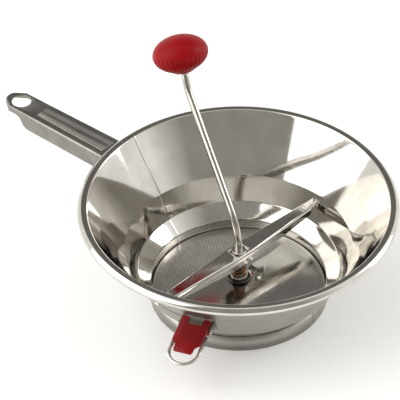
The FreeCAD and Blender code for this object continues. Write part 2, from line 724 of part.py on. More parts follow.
def make_crossbar():
    """The inverted channel that carries the crank, with a tongue at each end."""
    bar = new_body("crossbar", turned(size("bar_angle")))
    top = "Sizes.bar_top"
    level = size("bar_top")
    middle = "Sizes.bar_middle"
    reach = "(%s - Sizes.bar_flange_gap)" % WALL_AT_BAR
    half = "Sizes.bar_width / 2"
    end_half = "Sizes.bar_end_width / 2"
    inset = " - Sizes.bar_sheet"
    plan = new_sketch(bar, "bar_plan", "XY_Plane", top)
    outline(plan, mirrored_outline([
        ("-" + reach, end_half),
        ("-" + middle, half),
        (middle, half),
        (reach, end_half),
    ]))
    pad(bar, "bar_block", plan, "Sizes.bar_depth", reverse=True)
    fillet(bar, "bar_edges", "Sizes.bar_edge_corner", lambda edge: edge.BoundBox.ZMin > level - 0.01)
    hollow = new_sketch(bar, "bar_hollow_plan", "XY_Plane", top + inset)
    outline(hollow, mirrored_outline([
        ("-" + reach + inset, end_half + inset),
        ("-" + middle, half + inset),
        (middle, half + inset),
        (reach + " + Sizes.bar_sheet", end_half + inset),
    ]))
    pocket(bar, "bar_hollow", hollow, "Sizes.bar_depth")
    low = top + " - Sizes.bar_depth"
    end_low = top + " - Sizes.bar_end_depth"
    toe = "Sizes.bar_toe"
    for side in ("near", "far"):
        sign = "-" if side == "far" else ""
        taper = new_sketch(bar, "bar_taper_" + side, "XZ_Plane")
        outline(taper, [
            (sign + "Sizes.bar_taper_start", low + inset),
            (sign + "Sizes.bar_taper_start", low),
            ("%s(%s - %s)" % (sign, reach, toe), end_low),
            (sign + reach, end_low + " + " + toe),
            ("%s(%s + %s)" % (sign, reach, toe), end_low + " + " + toe),
            ("%s(%s + %s)" % (sign, reach, toe), low + inset),
        ])
        pocket(bar, "bar_taper_cut_" + side, taper, "Sizes.bar_width * 2", midplane=True)
    tongues = new_sketch(bar, "tongue_plan", "XY_Plane", top)
    tip = "(%s + Sizes.tongue_stand)" % WALL_AT_BAR
    tongue = "Sizes.tongue_width / 2"
    outline(tongues, mirrored_outline([
        ("-" + tip, tongue + " - Sizes.tongue_corner"),
        ("-" + tip + " + Sizes.tongue_corner", tongue),
        (tip + " - Sizes.tongue_corner", tongue),
        (tip, tongue + " - Sizes.tongue_corner"),
    ]))
    pad(bar, "tongues", tongues, "Sizes.bar_sheet", reverse=True)
    hole = new_sketch(bar, "bush_hole_plan", "XY_Plane", top)
    circle(hole, "0", "Sizes.rod_radius + Sizes.running_clearance + Sizes.bush_wall")
    pocket(bar, "bush_hole", hole, "Sizes.bar_depth")
    return bar


def make_bushing():
    """The flanged bearing in the middle of the crossbar."""
    body = new_body("bar_bushing")
    bore = "Sizes.rod_radius + Sizes.running_clearance"
    barrel = bore + " + Sizes.bush_wall"
    flange = "Sizes.bush_flange_radius"
    top = "Sizes.bar_top"
    bottom = "Sizes.bar_top - Sizes.bar_sheet"
    section = new_sketch(body, "bushing_section", "XZ_Plane")
    outline(section, [
        (bore, bottom + " - Sizes.bush_flange"),
        (flange, bottom + " - Sizes.bush_flange"),
        (flange, bottom),
        (barrel, bottom),
        (barrel, top),
        (flange, top),
        (flange, top + " + Sizes.bush_flange"),
        (bore, top + " + Sizes.bush_flange"),
    ])
    revolution(body, "bushing_turn", section)
    return body


def tongue_slot(degrees, sweep):
    """The opening in the wall for a tongue, as wide as the tongue can turn in it."""
    gap = size("tongue_clearance")
    low = size("bar_top") - size("bar_sheet") - gap
    high = size("bar_top") + gap
    width = size("tongue_width") + 2 * gap
    reach = amount(WALL_AT_BAR) - size("slot_depth") / 2
    depth = size("slot_depth")
    cutter = slot_box(degrees, reach, depth, width, low, high)
    if sweep:
        section = Part.Face(Part.makePolygon([
            Vector(reach, 0, low),
            Vector(reach + depth, 0, low),
            Vector(reach + depth, 0, high),
            Vector(reach, 0, high),
            Vector(reach, 0, low),
        ]))
        section.Placement = turned(degrees)
        arc = section.revolve(Vector(0, 0, 0), UP, sweep)
        cutter = cutter.fuse([arc, slot_box(degrees + sweep, reach, depth, width, low, high)])
    return cutter


def tongue_middle():
    """Height of the middle of the tongues' sheet."""
    return size("bar_top") - size("bar_sheet") / 2


def make_anchor(cuts):
    """The plate that stiffens the wall round the far slot."""
    low = tongue_middle() - size("anchor_depth") / 2
    high = low + size("anchor_depth")
    plate = wall_patch(size("bar_angle"), low, high, size("anchor_width"), size("anchor_sheet"))
    return computed("bar_anchor", plate.cut(cuts))


# ---------------------------------------------------------------- the crank

def make_crank_rod(pin_hole):
    """The round bar, upright through the crossbar and leaning out to the knob."""
    lean = Vector(0, 0, size("lean_start"))
    corner = Vector(size("crank_reach"), 0, size("crank_rise"))
    middle = Vector(size("knob_reach"), 0, size("knob_rise"))
    tip = middle + knob_axis() * (size("sleeve_depth") - size("knob_height") / 2 - size("sleeve_wall"))
    path = rounded_path(
        [Vector(0, 0, size("rod_foot")), lean, corner, tip],
        [size("lean_radius"), size("neck_radius")],
    )
    rod = pipe(path, size("rod_radius")).cut(pin_hole)
    return computed("crank_rod", rod, turned(size("crank_angle")))


def knob_axis():
    """The direction of the rod's upper end, in the crank's own plane."""
    corner = Vector(size("crank_reach"), 0, size("crank_rise"))
    middle = Vector(size("knob_reach"), 0, size("knob_rise"))
    return (middle - corner).normalize()


def knob_placement(along=0.0):
    """Places something that was made on +Z on the knob's axis, measured from the knob's foot."""
    middle = Vector(size("knob_reach"), 0, size("knob_rise"))
    foot = middle + knob_axis() * (along - size("knob_height") / 2)
    tilt = FreeCAD.Placement(foot, FreeCAD.Rotation(UP, knob_axis()))
    return turned(size("crank_angle")).multiply(tilt)


def make_knob():
    """The red knob, a flattened ball with a flat foot."""
    body = new_body("knob", knob_placement())
    bore = "Sizes.rod_radius + Sizes.running_clearance + Sizes.sleeve_wall"
    middle = "Sizes.knob_height / 2"
    arc = []
    for degrees in range(-int(size("knob_foot_angle")), 90, int(size("knob_facet"))):
        across = math.cos(math.radians(degrees))
        up = math.sin(math.radians(degrees))
        arc.append(("Sizes.knob_radius * %.4f" % across, "%s + %s * %.4f" % (middle, middle, up)))
    section = new_sketch(body, "knob_section", "XZ_Plane")
    outline(section, [(bore, "0"), ("Sizes.knob_neck_radius", "0")] + arc + [
        ("0", "Sizes.knob_height"),
        ("0", "Sizes.sleeve_depth"),
        (bore, "Sizes.sleeve_depth"),
    ])
    revolution(body, "knob_turn", section)
    return body


def make_knob_sleeve():
    """The steel bush that the knob turns on."""
    bore = "Sizes.rod_radius + Sizes.running_clearance"
    sleeve = tube("knob_sleeve", bore + " + Sizes.sleeve_wall", bore, "Sizes.sleeve_depth", knob_placement())
    return subpart(sleeve)


def make_knob_stop():
    """The ring fixed on the rod just under the knob."""
    place = knob_placement(-size("face_gap") - size("washer_thickness"))
    return subpart(tube("knob_stop", "Sizes.stop_radius", "Sizes.rod_radius", "Sizes.washer_thickness", place))


def pin_block(extra, low_extra, high_extra):
    """The drive pin's path through the rod or the hub."""
    radius = size("pin_radius") + extra
    length = 3 * size("hub_radius")
    across = Vector(0, 1, 0)
    low = Part.makeCylinder(radius, length, Vector(0, -length / 2, size("pin_height") - low_extra), across)
    if low_extra + high_extra < 1e-9:
        return low
    high = Part.makeCylinder(radius, length, Vector(0, -length / 2, size("pin_height") + high_extra), across)
    between = Part.makeBox(
        2 * radius, length, low_extra + high_extra,
        Vector(-radius, -length / 2, size("pin_height") - low_extra),
    )
    return low.fuse([high, between])


def make_drive_pin():
    """The cross pin through the rod, which turns the hub."""
    pin = subpart(document.addObject("Part::Cylinder", "drive_pin"))
    pin.setExpression("Radius", "Sizes.pin_radius")
    length = 2 * (size("hub_radius") - size("pin_inset"))
    pin.setExpression("Height", "(Sizes.hub_radius - Sizes.pin_inset) * 2")
    lay = FreeCAD.Placement(Vector(0, -length / 2, size("pin_height")), FreeCAD.Rotation(UP, Vector(0, 1, 0)))
    document.recompute()
    pin.Placement = turned(size("crank_angle")).multiply(lay)
    return pin


# ---------------------------------------------------------------- the spring and the blade

def stack_heights():
    """Heights of the faces from the hub up to the spring's upper end."""
    hub_top = size("hub_foot") + size("hub_height")
    washers_top = hub_top + 2 * size("washer_thickness")
    spring_low = washers_top + size("collar_height")
    bush_low = size("bar_top") - size("bar_sheet") - size("bush_flange")
    spring_high = bush_low - size("face_gap") - size("washer_thickness")
    return hub_top, washers_top, spring_low, spring_high


def make_spring():
    """The compression spring between the upper washer and the collar."""
    low, high = stack_heights()[2:]
    wire = size("spring_wire") / 2
    rise = high - low - 2 * wire
    helix = Part.makeHelix(rise / size("spring_turns"), rise, size("spring_radius"))
    start = Vector(size("spring_radius"), 0, 0)
    profile = Part.Wire([Part.makeCircle(wire, start, Vector(0, 1, 0))])
    coil = Part.Wire(helix.Edges).makePipeShell([profile], True, True)
    coil.translate(Vector(0, 0, low + wire))
    return computed("spring", coil, turned(size("crank_angle")))


def make_washers():
    """The upper washer, the collar and the two dark washers."""
    hub_top, washers_top, spring_low, spring_high = stack_heights()
    bore = "Sizes.rod_radius + Sizes.running_clearance"
    thickness = "Sizes.washer_thickness"
    place = FreeCAD.Placement(Vector(0, 0, spring_high), FreeCAD.Rotation())
    subpart(tube("upper_washer", "Sizes.upper_washer_radius", "Sizes.rod_radius", thickness, place))
    place = FreeCAD.Placement(Vector(0, 0, washers_top), FreeCAD.Rotation())
    subpart(tube("spring_collar", "Sizes.collar_radius", bore, "Sizes.collar_height", place))
    rings = []
    for number in range(2):
        ring = Part.makeCylinder(size("washer_radius"), size("washer_thickness") - size("washer_crack"))
        ring = ring.cut(Part.makeCylinder(amount(bore), size("washer_thickness")))
        ring.translate(Vector(0, 0, hub_top + number * size("washer_thickness")))
        rings.append(ring)
    thrust = document.addObject("Part::Feature", "thrust_washers")
    thrust.Shape = Part.makeCompound(rings)
    subpart(thrust)


def make_hub():
    """The sleeve under the washers, slotted so that it can rise past the drive pin."""
    bore = size("rod_radius") + size("running_clearance")
    hub = Part.makeCylinder(size("hub_radius"), size("hub_height"), Vector(0, 0, size("hub_foot")))
    hub = hub.cut(Part.makeCylinder(bore, size("hub_height"), Vector(0, 0, size("hub_foot"))))
    slot = pin_block(size("running_clearance"), size("blade_travel"), 0.0)
    return computed("blade_hub", hub.cut(slot), turned(size("crank_angle")))


def blade_radius():
    """The blade's outer radius."""
    return size("spigot_radius") - size("blade_border")


def blade_start(radius):
    """The direction of the blade's straight edge at a radius, in degrees."""
    share = min(1.0, size("blade_edge_offset") / radius)
    return size("blade_edge_angle") + math.degrees(math.acos(share))


def blade_height(radius, degrees):
    """Height of the blade's lower face at a radius and a direction."""
    along = max(0.0, blade_radius() - radius) / (blade_radius() - size("hub_radius"))
    cone = size("blade_cone") * along ** size("cone_power")
    fold = math.radians(size("fold_angle"))
    x = radius * math.cos(math.radians(degrees)) - size("fold_x")
    y = radius * math.sin(math.radians(degrees)) - size("fold_y")
    past_fold = max(0.0, -x * math.sin(fold) + y * math.cos(fold))
    into_flap = min(1.0, max(0.0, (degrees - size("flap_start")) / size("flap_blend")))
    off_hub = min(1.0, max(0.0, radius / size("hub_radius") - size("flap_root")))
    flap = size("blade_flap_slope") * past_fold * into_flap * off_hub
    ramp = size("blade_ramp") * (degrees - size("blade_edge_angle")) / 360
    return grate_top() + size("blade_lift") + cone + flap + ramp * (1 - along)


def blade_surface(lift):
    """One face of the blade, through a grid of points."""
    inner = (size("rod_radius") + size("hub_radius")) / 2
    outer = blade_radius()
    rows = []
    spans = 34
    rings = 12
    for ring in range(rings):
        radius = inner + (outer - inner) * ring / (rings - 1)
        start = blade_start(radius)
        row = []
        for span in range(spans):
            degrees = start + (size("blade_end") - start) * span / (spans - 1)
            angle = math.radians(degrees)
            height = blade_height(radius, degrees) + lift
            row.append(Vector(radius * math.cos(angle), radius * math.sin(angle), height))
        rows.append(row)
    surface = Part.BSplineSurface()
    surface.interpolate(rows)
    return surface.toShape()


def matching_edge(shape, spot):
    """The edge of a shape whose middle is nearest a spot."""
    return min(shape.Edges, key=lambda edge: edge.CenterOfMass.distanceToPoint(spot))


def make_blade():
    """The polished plate, fixed to the hub, with a straight edge and a raised flap."""
    sheet = size("blade_sheet")
    low = blade_surface(0.0)
    high = blade_surface(sheet)
    faces = [low.Faces[0], high.Faces[0]]
    for edge in low.Edges:
        partner = matching_edge(high, edge.CenterOfMass + Vector(0, 0, sheet))
        faces.append(Part.makeRuledSurface(edge, partner))
    shell = Part.makeShell(faces)
    shell.sewShape()
    blade = Part.Solid(shell)
    if blade.Volume < 0:
        blade.reverse()
    height = size("hub_height")
    core = Part.makeCylinder(size("hub_radius"), height, Vector(0, 0, size("hub_foot")))
    return computed("blade", blade.cut(core))


# ---------------------------------------------------------------- the latch

def latch_point(along, across, down=0.0):
    """A point on the lever's plate: along its slope, across it, and under its top."""
    slope = math.radians(size("latch_slope"))
    reach = amount(WALL_AT_HINGE) + size("latch_stand") + along * math.cos(slope) - down * math.sin(slope)
    height = latch_top() - along * math.sin(slope) - down * math.cos(slope)
    return Vector(reach, across, height)


def latch_top():
    """Height of the plate's top at its inner end."""
    return size("hinge_height") + size("hinge_radius") + size("plate_over_pin") + size("latch_sheet")


def plate_placement(along=0.0, down=0.0):
    """Places something that was made flat along +X on the lever's slope."""
    tilt = FreeCAD.Rotation(Vector(0, 1, 0), size("latch_slope"))
    return turned(size("latch_angle")).multiply(FreeCAD.Placement(latch_point(along, 0.0, down), tilt))


def flat_outline(points, thickness, across):
    """A plate of a thickness along a direction, from its outline."""
    return Part.Face(Part.makePolygon(points + points[:1])).extrude(across * thickness)


def make_lever(cuts):
    """The red plate: a flat top with side flanges, a notch and a narrower nose."""
    sheet = size("latch_sheet")
    length = size("latch_length")
    half = size("latch_width") / 2
    nose = size("latch_nose") / 2
    nose_end = length + size("latch_nose_length")
    flange = size("latch_flange")
    corner = size("latch_corner")
    chamfer = size("nose_corner")
    right = [
        Vector(0, half, 0),
        Vector(length - corner, half, 0),
        Vector(length, nose + size("nose_flare"), 0),
        Vector(nose_end - chamfer, nose, 0),
        Vector(nose_end, nose - chamfer, 0),
    ]
    left = [Vector(point.x, -point.y, 0) for point in reversed(right)]
    top = flat_outline(right + left, sheet, -UP)
    notch_width = size("notch_width")
    notch = Part.makeBox(2 * size("notch_length"), notch_width, 3 * sheet,
                         Vector(-size("notch_length"), -notch_width / 2, -2 * sheet))
    knuckle = sheet + size("plate_over_pin") + 2 * size("hinge_radius") + size("knuckle_wall")
    knuckle_end = size("knuckle_length")
    slope = size("knuckle_slope")
    flange_end = length - size("flange_gap")
    wings = []
    for start in (-half, half - sheet):
        wings.append(flat_outline([
            Vector(0, start, -sheet),
            Vector(flange_end, start, -sheet),
            Vector(flange_end - slope, start, -flange),
            Vector(knuckle_end + slope, start, -flange),
            Vector(knuckle_end, start, -knuckle),
            Vector(0, start, -knuckle),
        ], sheet, Vector(0, 1, 0)))
    lever = top.cut(notch).fuse(wings)
    lever.Placement = plate_placement()
    return computed("latch_lever", lever.cut(cuts))


def hinge_placement(across=0.0):
    """Places something on the latch's hinge line, at a distance from the latch's middle."""
    reach = amount(WALL_AT_HINGE) + size("hinge_stand")
    return turned(size("latch_angle"), x=reach, y=across, z=size("hinge_height"))


def hinge_cylinder(radius, length):
    """A cylinder on the latch's hinge line."""
    rod = Part.makeCylinder(radius, length, Vector(0, -length / 2, 0), Vector(0, 1, 0))
    rod.Placement = hinge_placement()
    return rod


def ear_offset():
    """From the latch's middle to the inner face of an ear."""
    return size("latch_width") / 2 + size("ear_gap")


def make_latch_bracket(cuts):
    """The plate on the wall with an ear at each side of the lever."""
    sheet = size("ear_sheet")
    radius = size("ear_radius")
    low = size("hinge_height") - size("bracket_drop")
    high = size("hinge_height") + size("bracket_rise")
    plate = wall_patch(size("latch_angle"), low, high, 2 * (ear_offset() + sheet), sheet)
    arm_length = size("hinge_stand") + size("ear_radius")
    across = Vector(0, 1, 0)
    ears = []
    for start in (ear_offset(), -ear_offset() - sheet):
        arm = Part.makeBox(arm_length, sheet, 2 * radius, Vector(-arm_length, start, -radius))
        ear = arm.fuse(Part.makeCylinder(radius, sheet, Vector(0, start, 0), across))
        ear.Placement = hinge_placement()
        ears.append(ear.cut(within_wall()))
    return computed("latch_bracket", plate.fuse(ears).cut(cuts))


def make_hinge_pin():
    """The latch's pin, with a head at each end."""
    length = 2 * (ear_offset() + size("ear_sheet"))
    pin = hinge_cylinder(size("hinge_radius"), length)
    head_radius = size("hinge_radius") + size("pin_head_edge")
    heads = []
    for side in (-1, 1):
        head = Part.makeCylinder(head_radius, size("pin_head"), Vector(0, 0, 0), Vector(0, side, 0))
        head.Placement = hinge_placement(side * length / 2)
        heads.append(head)
    return computed("latch_pin", pin.fuse(heads))


def make_latch_loop():
    """The wire bail: two legs under the plate and a round bow beyond its nose."""
    wire = size("loop_wire")
    half = size("latch_width") / 2 + size("loop_outset")
    down = size("latch_flange") + wire
    start = size("loop_start")
    bow = size("latch_length") + size("latch_nose_length") + size("loop_reach") - half - wire
    edges = [
        Part.makeLine(Vector(start, -half, -down), Vector(bow, -half, -down)),
        Part.Arc(Vector(bow, -half, -down), Vector(bow + half, 0, -down), Vector(bow, half, -down)).toShape(),
        Part.makeLine(Vector(bow, half, -down), Vector(start, half, -down)),
    ]
    loop = pipe(edges, wire)
    loop.Placement = plate_placement()
    return computed("latch_loop", loop)


def jaw_level():
    """Height of the jaw's level underside."""
    return latch_point(0.0, 0.0, size("latch_sheet")).z - size("jaw_sheet")


def make_jaw():
    """The steel hook under the plate, through the wall and up inside it."""
    sheet = size("jaw_sheet")
    under = latch_point(0.0, 0.0, size("latch_sheet"))
    ahead = latch_point(size("jaw_grip"), 0.0, size("latch_sheet"))
    inner = amount(WALL_AT_HINGE) - size("jaw_inset")
    level = jaw_level()
    width = size("jaw_width")
    outline_points = [
        ahead,
        under,
        Vector(under.x - size("jaw_knee"), 0, level + sheet),
        Vector(inner + sheet, 0, level + sheet),
        Vector(inner + sheet, 0, level + size("jaw_height")),
        Vector(inner, 0, level + size("jaw_height")),
        Vector(inner, 0, level),
        Vector(under.x, 0, level),
        Vector(ahead.x, 0, ahead.z - sheet),
    ]
    hook = flat_outline(outline_points, width, Vector(0, 1, 0))
    return computed("latch_jaw", hook, turned(size("latch_angle"), y=-width / 2))


def jaw_slot():
    """The opening in the wall that lets the jaw through and lets it swing."""
    sheet = size("jaw_sheet")
    clearance = size("jaw_clearance")
    level = jaw_level()
    inner = amount(WALL_AT_HINGE) - size("jaw_inset") + sheet + clearance
    lever_arm = size("hinge_stand") + size("jaw_inset")
    rise = lever_arm * math.sin(math.radians(size("latch_swing")))
    return slot_box(size("latch_angle"), inner, 2 * size("hinge_stand"), size("jaw_width") + 2 * clearance,
                    level - clearance, level + sheet + rise)


def make_latch_spring():
    """The torsion spring's turns, round the pin between the jaw and a side flange."""
    wire = size("coil_wire")
    gap = size("coil_end_gap")
    radius = size("hinge_radius") + size("coil_clearance") + wire
    inner = size("jaw_width") / 2 + gap + wire
    length = size("latch_width") / 2 - size("latch_sheet") - gap - wire - inner
    helix = Part.makeHelix(length / size("coil_turns"), length, radius)
    profile = Part.Wire([Part.makeCircle(wire, Vector(radius, 0, 0), Vector(0, 1, 0))])
    coil = Part.Wire(helix.Edges).makePipeShell([profile], True, True)
    lay = FreeCAD.Placement(Vector(0, 0, 0), FreeCAD.Rotation(UP, Vector(0, 1, 0)))
    return computed("latch_spring", coil, hinge_placement(inner).multiply(lay))


# ---------------------------------------------------------------- assembly

def make_group(label, solids):
    """Several equal solids in one piece's place."""
    group = document.addObject("Part::Feature", label)
    group.Shape = Part.makeCompound(solids)
    return subpart(group)


bracket_rivets = drum_rivets(
    size("latch_angle"), size("hinge_height") - size("bracket_rivet_drop"),
    size("bracket_rivet_spread"), size("ear_sheet"),
)
far_slot = tongue_slot(size("bar_angle"), 0.0)
near_slot = tongue_slot(size("bar_angle") + 180.0, size("bayonet_turn"))
latch_opening = jaw_slot()
pin_length = 3 * size("latch_width")
pin_hole = hinge_cylinder(size("hinge_radius"), pin_length)
pin_clearance = hinge_cylinder(size("hinge_radius") + size("running_clearance"), pin_length)

make_bowl(bracket_rivets + [far_slot, near_slot, latch_opening])
make_base_ring()
make_grate()
make_handle()
make_saddle()
make_crossbar()
make_bushing()
make_anchor([far_slot])
make_crank_rod(pin_block(0.0, 0.0, 0.0))
make_drive_pin()
make_washers()
make_spring()
make_hub()
make_blade()
make_knob()
make_knob_sleeve()
make_knob_stop()
make_latch_bracket([pin_hole, latch_opening] + bracket_rivets)
make_group("bracket_rivets", bracket_rivets)
make_hinge_pin()
make_latch_spring()
make_lever([pin_clearance])
make_latch_loop()
make_jaw()

document.recompute()
faults = []
for thing in document.Objects:
    if "Invalid" in thing.State or "Error" in thing.State:
        faults.append("%s: %s" % (thing.Label, thing.State))
for piece in SUBPARTS:
    if piece.Shape.isNull() or not piece.Shape.isValid() or not piece.Shape.Solids:
        faults.append("%s: bad shape" % piece.Label)
if faults:
    raise RuntimeError("; ".join(faults))

os.makedirs("parts", exist_ok=True)
for piece in SUBPARTS:
    piece.Shape.exportStep("parts/%s.step" % piece.Label)
    print("%-16s solids %d  volume %.1f" % (piece.Label, len(piece.Shape.Solids), piece.Shape.Volume))
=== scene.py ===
import json
import math

import bmesh
import bpy
from mathutils import Matrix, Vector


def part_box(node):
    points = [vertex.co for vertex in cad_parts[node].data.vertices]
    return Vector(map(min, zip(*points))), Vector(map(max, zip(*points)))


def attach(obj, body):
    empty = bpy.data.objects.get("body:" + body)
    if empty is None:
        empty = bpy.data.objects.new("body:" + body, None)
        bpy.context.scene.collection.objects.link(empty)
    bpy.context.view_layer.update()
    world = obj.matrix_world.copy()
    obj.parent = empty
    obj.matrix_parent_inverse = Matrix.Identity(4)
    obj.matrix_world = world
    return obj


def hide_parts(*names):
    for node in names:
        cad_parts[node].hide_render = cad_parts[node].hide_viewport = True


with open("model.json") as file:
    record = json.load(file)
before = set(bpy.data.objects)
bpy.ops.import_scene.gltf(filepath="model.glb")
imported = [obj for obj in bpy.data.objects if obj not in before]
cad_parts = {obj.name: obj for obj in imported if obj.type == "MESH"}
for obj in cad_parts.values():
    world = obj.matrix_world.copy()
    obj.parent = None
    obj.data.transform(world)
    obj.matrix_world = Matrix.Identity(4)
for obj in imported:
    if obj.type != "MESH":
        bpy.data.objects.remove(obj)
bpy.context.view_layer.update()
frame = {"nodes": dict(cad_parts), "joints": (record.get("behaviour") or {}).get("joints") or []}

# A rotary food mill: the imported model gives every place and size. Millimetres are turned into the
# scene's metres with MM. The bowl, the grate, the blade and the knob are built here in finer meshes.

MM = 0.001
NODES = frame["nodes"]

BOWL_LOW, BOWL_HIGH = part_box("bowl")
RIM_RADIUS = BOWL_HIGH.x
LIP_RISE = 2.6 * MM
RIM_HEIGHT = BOWL_HIGH.z - LIP_RISE
GRATE_LOW, GRATE_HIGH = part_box("grate")
RING_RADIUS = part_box("base_ring")[1].x
HINGES = {joint["name"]: joint for joint in frame["joints"]}

VIEW_AZIMUTH = math.radians(40.8)
VIEW_ELEVATION = math.radians(39.75)
VIEW_ROLL = math.radians(-0.9)
VIEW_DISTANCE = 2.5
VIEW_LENS = 302.6


# ---------------------------------------------------------------- meshes

def add_object(name, vertices, faces):
    """A mesh object from lists of points and faces."""
    mesh = bpy.data.meshes.new(name)
    mesh.from_pydata([tuple(point) for point in vertices], [], faces)
    mesh.validate()
    piece = bpy.data.objects.new(name, mesh)
    bpy.context.scene.collection.objects.link(piece)
    return piece


def smooth(piece, degrees=35):
    """Smooth shading that keeps creases sharper than an angle."""
    mesh = piece.data
    mesh.polygons.foreach_set("use_smooth", [True] * len(mesh.polygons))
    mesh.set_sharp_from_angle(angle=math.radians(degrees))
    mesh.update()
    return piece


def outward(piece):
    """Makes all the faces of a closed mesh look out."""
    work = bmesh.new()
    work.from_mesh(piece.data)
    bmesh.ops.remove_doubles(work, verts=work.verts, dist=1e-7)
    bmesh.ops.recalc_face_normals(work, faces=work.faces)
    work.to_mesh(piece.data)
    work.free()
    return piece


def rounded(corners, radii, steps=6):
    """Points along a run of corners, each inner corner rounded to its radius."""
    points = [Vector(corners[0])]
    for index, radius in enumerate(radii, start=1):
        corner = Vector(corners[index])
        back = (Vector(corners[index - 1]) - corner).normalized()
        ahead = (Vector(corners[index + 1]) - corner).normalized()
        half_turn = (math.pi - back.angle(ahead)) / 2
        inward = (back + ahead).normalized()
        centre = corner + inward * radius / math.cos(half_turn)
        first = corner + back * radius * math.tan(half_turn) - centre
        last = corner + ahead * radius * math.tan(half_turn) - centre
        for step in range(steps + 1):
            spoke = first.lerp(last, step / steps).normalized() * radius
            points.append(centre + spoke)
    points.append(Vector(corners[-1]))
    return points


def refined(points, longest):
    """The same run with no step longer than a length."""
    run = [points[0]]
    for point in points[1:]:
        count = max(1, math.ceil((point - run[-1]).length / longest))
        start = run[-1]
        run.extend(start.lerp(point, step / count) for step in range(1, count + 1))
    return run


def side_of(points, distance):
    """The parallel of a run in the (radius, height) plane, on its right."""
    parallel = []
    for index, point in enumerate(points):
        before = points[max(index - 1, 0)]
        after = points[min(index + 1, len(points) - 1)]
        along = (after - before).normalized()
        parallel.append(point + Vector((along.y, -along.x)) * distance)
    return parallel


def lathe(name, loop, angles, shape=None):
    """A closed section turned about +Z. shape may move each point's radius and height."""
    count = len(loop)
    vertices = []
    for angle in angles:
        for radius, height in loop:
            if shape:
                radius, height = shape(radius, height, angle)
            vertices.append((radius * math.cos(angle), radius * math.sin(angle), height))
    faces = []
    turns = len(angles)
    for turn in range(turns):
        here = turn * count
        there = (turn + 1) % turns * count
        for index in range(count):
            following = (index + 1) % count
            faces.append((here + index, there + index, there + following, here + following))
    return outward(add_object(name, vertices, faces))


def even_angles(count):
    """Equal steps round a full turn."""
    return [2 * math.pi * step / count for step in range(count)]


def box_mesh(name, low, high, placement):
    """A block used to cut openings."""
    work = bmesh.new()
    bmesh.ops.create_cube(work, size=1.0)
    size = Vector(high) - Vector(low)
    middle = (Vector(high) + Vector(low)) / 2
    matrix = placement @ Matrix.Translation(middle) @ Matrix.Diagonal((*size, 1))
    bmesh.ops.transform(work, matrix=matrix, verts=work.verts)
    mesh = bpy.data.meshes.new(name)
    work.to_mesh(mesh)
    work.free()
    block = bpy.data.objects.new(name, mesh)
    bpy.context.scene.collection.objects.link(block)
    return block


def cut(piece, cutters):
    """Cuts openings and removes the cutters."""
    for cutter in cutters:
        modifier = piece.modifiers.new("opening", "BOOLEAN")
        modifier.operation = "DIFFERENCE"
        modifier.solver = "EXACT"
        modifier.object = cutter
    graph = bpy.context.evaluated_depsgraph_get()
    mesh = bpy.data.meshes.new_from_object(piece.evaluated_get(graph))
    piece.modifiers.clear()
    piece.data = mesh
    for cutter in cutters:
        bpy.data.objects.remove(cutter)
    return piece


# ---------------------------------------------------------------- materials

